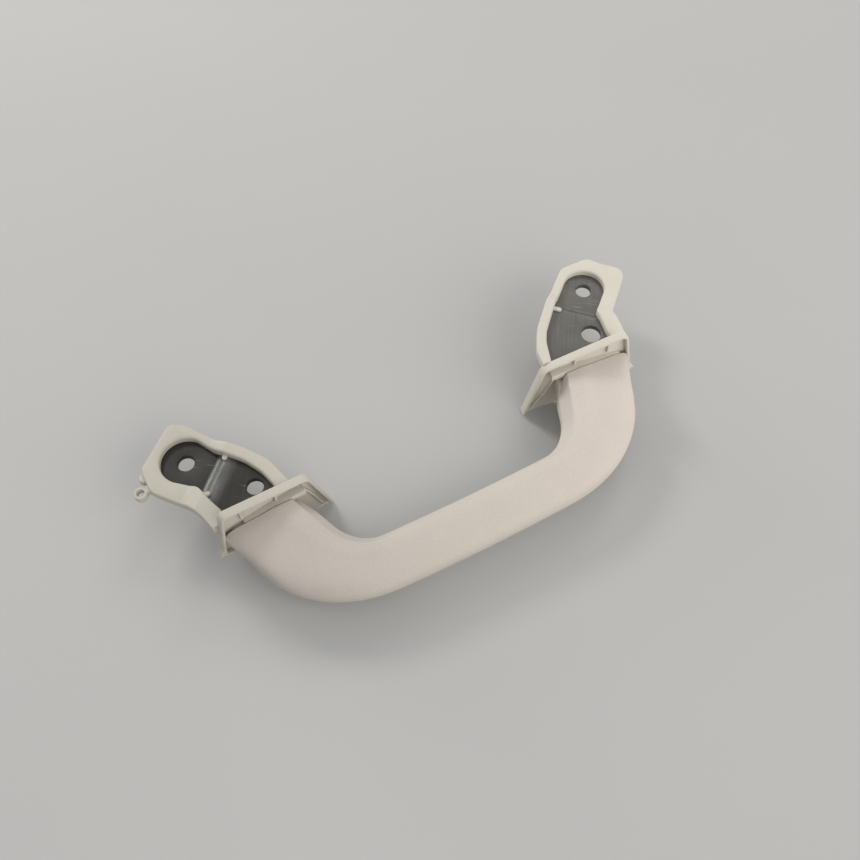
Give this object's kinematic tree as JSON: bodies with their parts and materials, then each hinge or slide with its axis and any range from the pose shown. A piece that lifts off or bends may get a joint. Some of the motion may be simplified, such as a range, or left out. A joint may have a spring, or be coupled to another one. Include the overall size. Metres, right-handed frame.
{
  "type": "roof grab handle",
  "caption": "Fixed U-shaped roof grab handle with a moulded grip, box collars and angled steel-lined fixing pads, without its end covers.",
  "frame": {"origin": "midway between the two outer bolt holes, on the mounting plane that the backs of the steel bolt lobes lie on", "axes": "+X along the handle from the left bolt hole to the right one, -Y from the bolt line towards the grip, +Z away from the mounting plane towards the user"},
  "size_m": [0.2825, 0.1251, 0.0454],
  "materials": {
    "strap_steel": "dull pressed steel, scratched",
    "grip_plastic": "warm beige, fine grain",
    "cover_plastic": "warm beige, fine grain"
  },
  "bodies": {
    "root": {"steel_strap": "strap_steel", "rear_moulding": "grip_plastic", "front_cover": "cover_plastic"}
  },
  "joints": []
}
